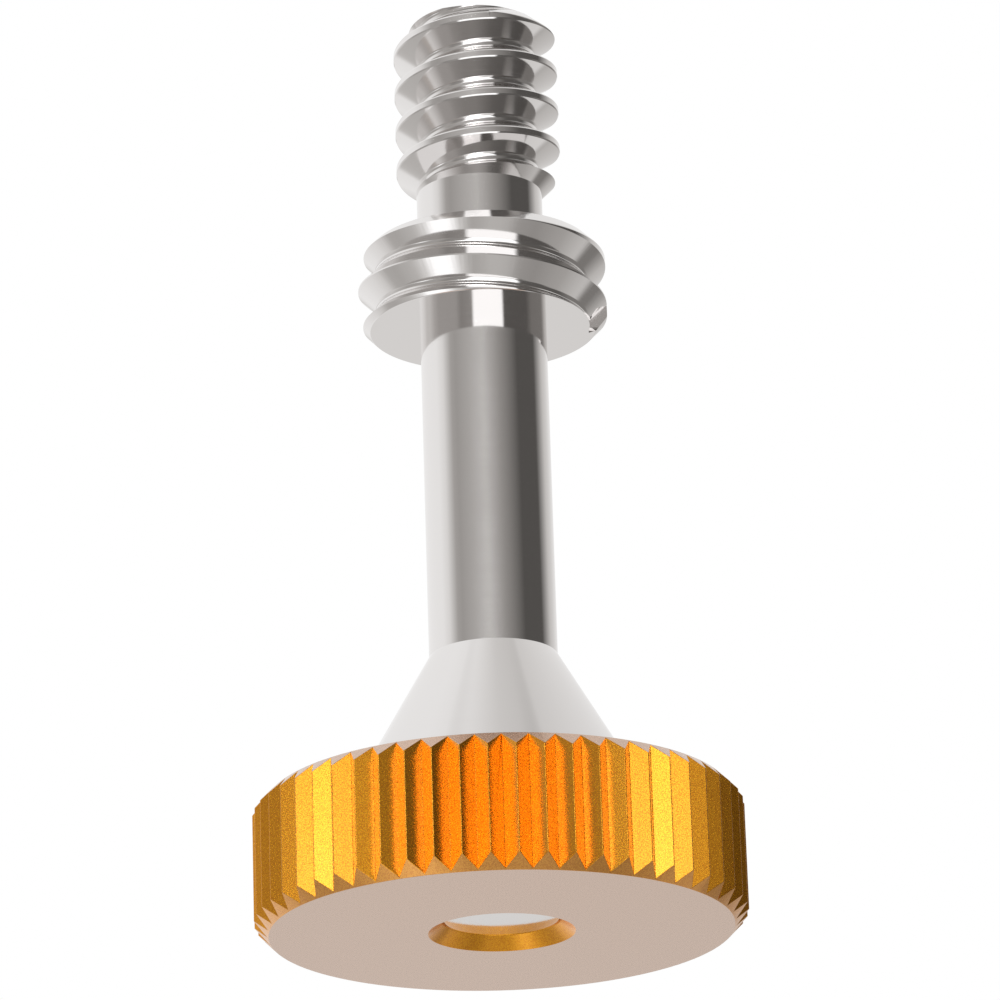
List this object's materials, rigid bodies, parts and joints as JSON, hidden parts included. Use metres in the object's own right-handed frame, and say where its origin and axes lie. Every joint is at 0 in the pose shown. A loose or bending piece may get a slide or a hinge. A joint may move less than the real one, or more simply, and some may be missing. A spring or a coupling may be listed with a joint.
{
  "type": "captive thumb screw",
  "caption": "Captive thumb screw: a knurled gold-coloured head on a polished steel screw with a cone shoulder, plain shank, threaded retaining collar and coarse threaded tip.",
  "frame": {"origin": "centre of the head's outer face, which the screw stands on", "axes": "+Z along the screw's axis towards the threaded tip, +X towards the square end of the collar's groove"},
  "size_m": [0.0182, 0.0182, 0.0364],
  "materials": {
    "steel": "polished",
    "gold_aluminium": "anodised, fine blasted"
  },
  "bodies": {
    "root": {"screw_body": "steel", "knurled_head": "gold_aluminium"}
  },
  "joints": []
}
